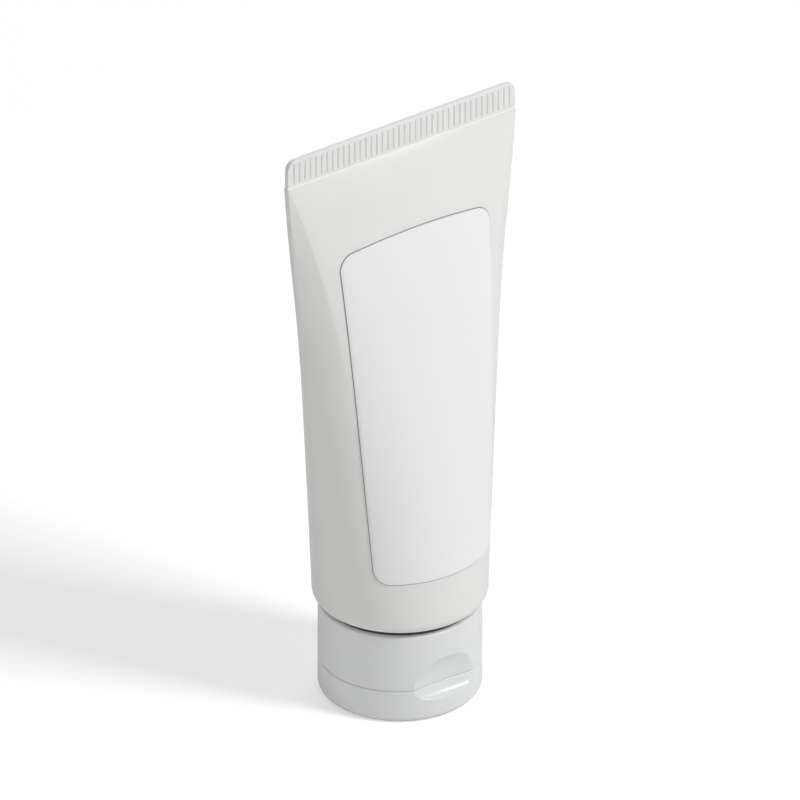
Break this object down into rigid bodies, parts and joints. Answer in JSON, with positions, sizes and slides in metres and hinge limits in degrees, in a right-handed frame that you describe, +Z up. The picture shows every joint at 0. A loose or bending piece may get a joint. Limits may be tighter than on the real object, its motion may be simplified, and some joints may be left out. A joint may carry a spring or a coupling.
{
  "type": "cosmetic squeeze tube",
  "caption": "Soft squeeze tube for cream, round at the shoulder and pressed flat into a grooved crimp, standing upside down on a flip-top cap with a thumb scoop",
  "frame": {"origin": "centre of the lid's flat face, on which the tube stands", "axes": "+Z up, label and thumb scoop face -Y, crimp runs along X, lid's hinge at +Y"},
  "size_m": [0.0634, 0.04, 0.1461],
  "materials": {
    "sleeve_plastic": "satin white polyethylene",
    "shoulder_plastic": "moulded white polyethylene",
    "label_film": "bare white film with a soft sheen",
    "cream": "thick white cream",
    "cap_plastic": "white polypropylene, smooth as moulded"
  },
  "bodies": {
    "tube": {"tube_sleeve": "sleeve_plastic", "tube_shoulder": "shoulder_plastic", "label": "label_film", "cream_fill": "cream", "cap_base": "cap_plastic"},
    "lid": {"cap_lid": "cap_plastic", "hinge_film": "cap_plastic"}
  },
  "joints": [
    {"name": "lid_hinge", "type": "hinge", "parent": "tube", "child": "lid", "pos_m": [0, 0.0175, 0.008], "axis": [1, 0, 0], "range_deg": [0, 180], "deforming": ["hinge_film"]}
  ]
}
